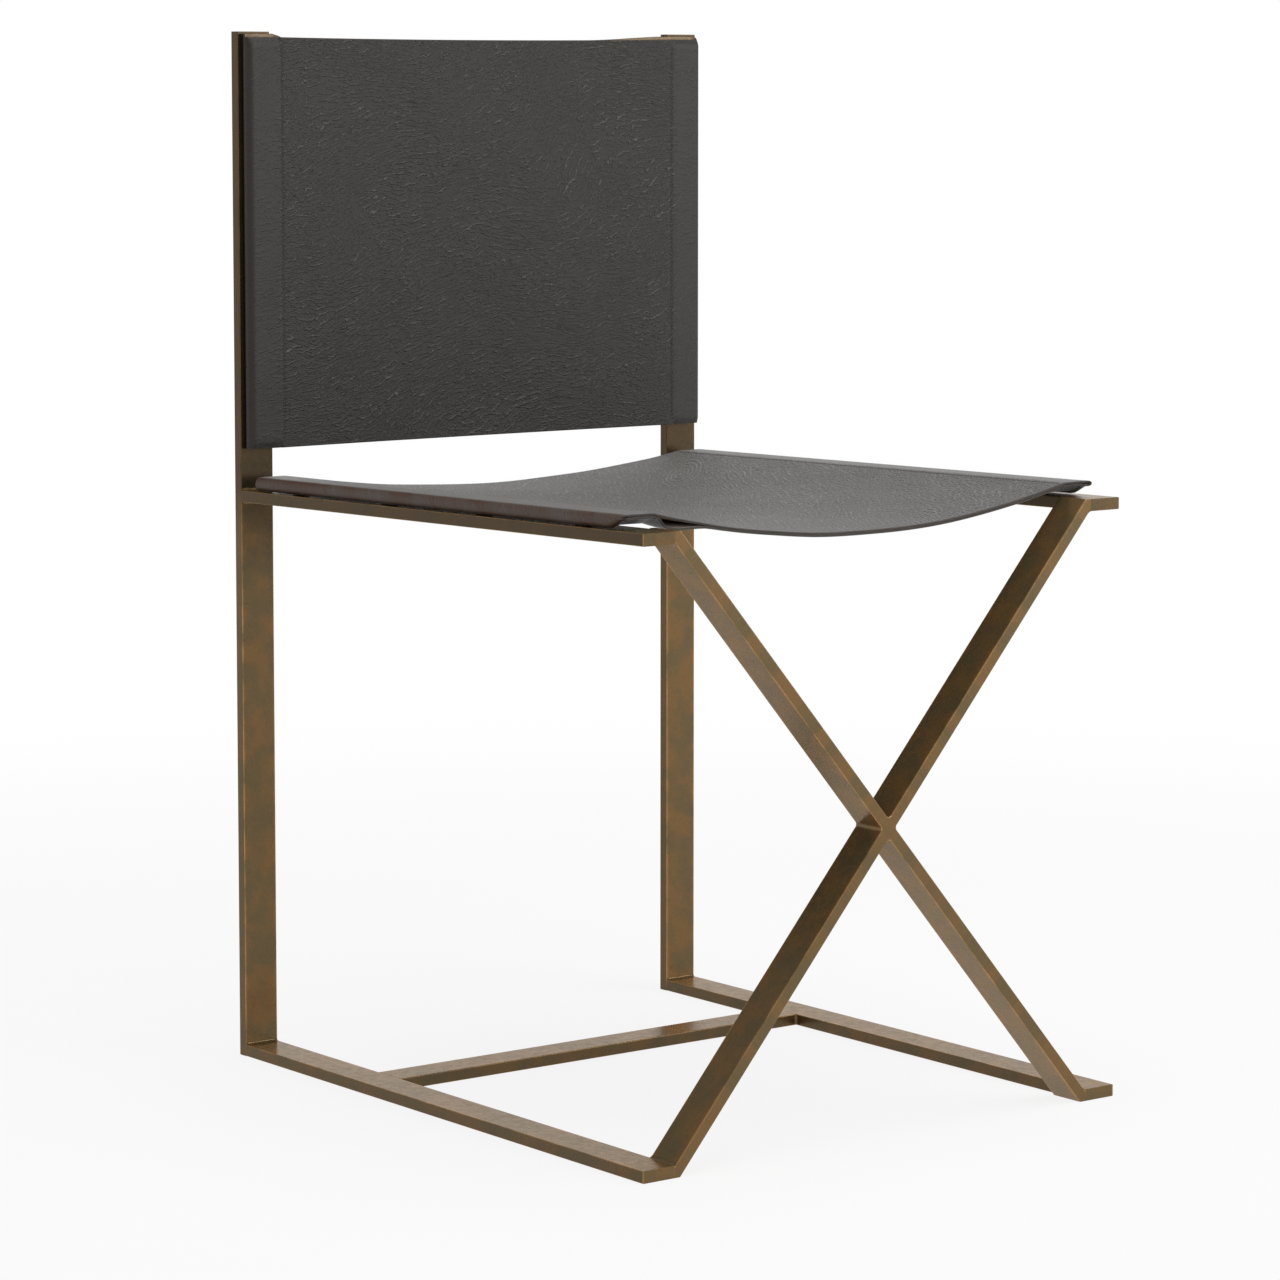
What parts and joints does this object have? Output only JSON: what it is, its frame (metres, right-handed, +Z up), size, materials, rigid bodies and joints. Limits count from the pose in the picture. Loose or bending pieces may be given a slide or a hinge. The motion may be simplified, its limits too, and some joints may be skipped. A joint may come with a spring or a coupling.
{
  "type": "flat bar sling chair",
  "caption": "Straight-legged dining chair of welded flat bar, with an X-shaped front, base rails joined by a stretcher, and a leather seat and back stretched on sewn-in bars.",
  "frame": {"origin": "on the floor, under the middle of the chair's plan", "axes": "+Z up, the front of the chair faces -Y, +X is to the right of someone looking at its front"},
  "size_m": [0.472, 0.552, 0.846],
  "materials": {
    "bronze": "satin aged bronze",
    "zinc": "zinc plated",
    "black_steel": "black oxide",
    "leather": "charcoal, pebbled grain, semi-matt"
  },
  "bodies": {
    "root": {"left_upright": "bronze", "left_base_rail": "bronze", "left_seat_rail": "bronze", "left_seat_sling_bar": "zinc", "left_back_sling_bar": "zinc", "left_seat_spacer_1": "black_steel", "left_seat_screw_1": "black_steel", "left_seat_spacer_2": "black_steel", "left_seat_screw_2": "black_steel", "left_seat_spacer_3": "black_steel", "left_seat_screw_3": "black_steel", "left_seat_spacer_4": "black_steel", "left_seat_screw_4": "black_steel", "left_back_spacer_1": "black_steel", "left_back_screw_1": "black_steel", "left_back_spacer_2": "black_steel", "left_back_screw_2": "black_steel", "left_back_spacer_3": "black_steel", "left_back_screw_3": "black_steel", "right_upright": "bronze", "right_base_rail": "bronze", "right_seat_rail": "bronze", "right_seat_sling_bar": "zinc", "right_back_sling_bar": "zinc", "right_seat_spacer_1": "black_steel", "right_seat_screw_1": "black_steel", "right_seat_spacer_2": "black_steel", "right_seat_screw_2": "black_steel", "right_seat_spacer_3": "black_steel", "right_seat_screw_3": "black_steel", "right_seat_spacer_4": "black_steel", "right_seat_screw_4": "black_steel", "right_back_spacer_1": "black_steel", "right_back_screw_1": "black_steel", "right_back_spacer_2": "black_steel", "right_back_screw_2": "black_steel", "right_back_spacer_3": "black_steel", "right_back_screw_3": "black_steel", "base_stretcher": "bronze", "top_back_rail": "bronze", "cross_bar": "bronze", "cross_bar_lower_half": "bronze", "cross_bar_upper_half": "bronze", "seat_sling": "leather", "back_sling": "leather"}
  },
  "joints": []
}
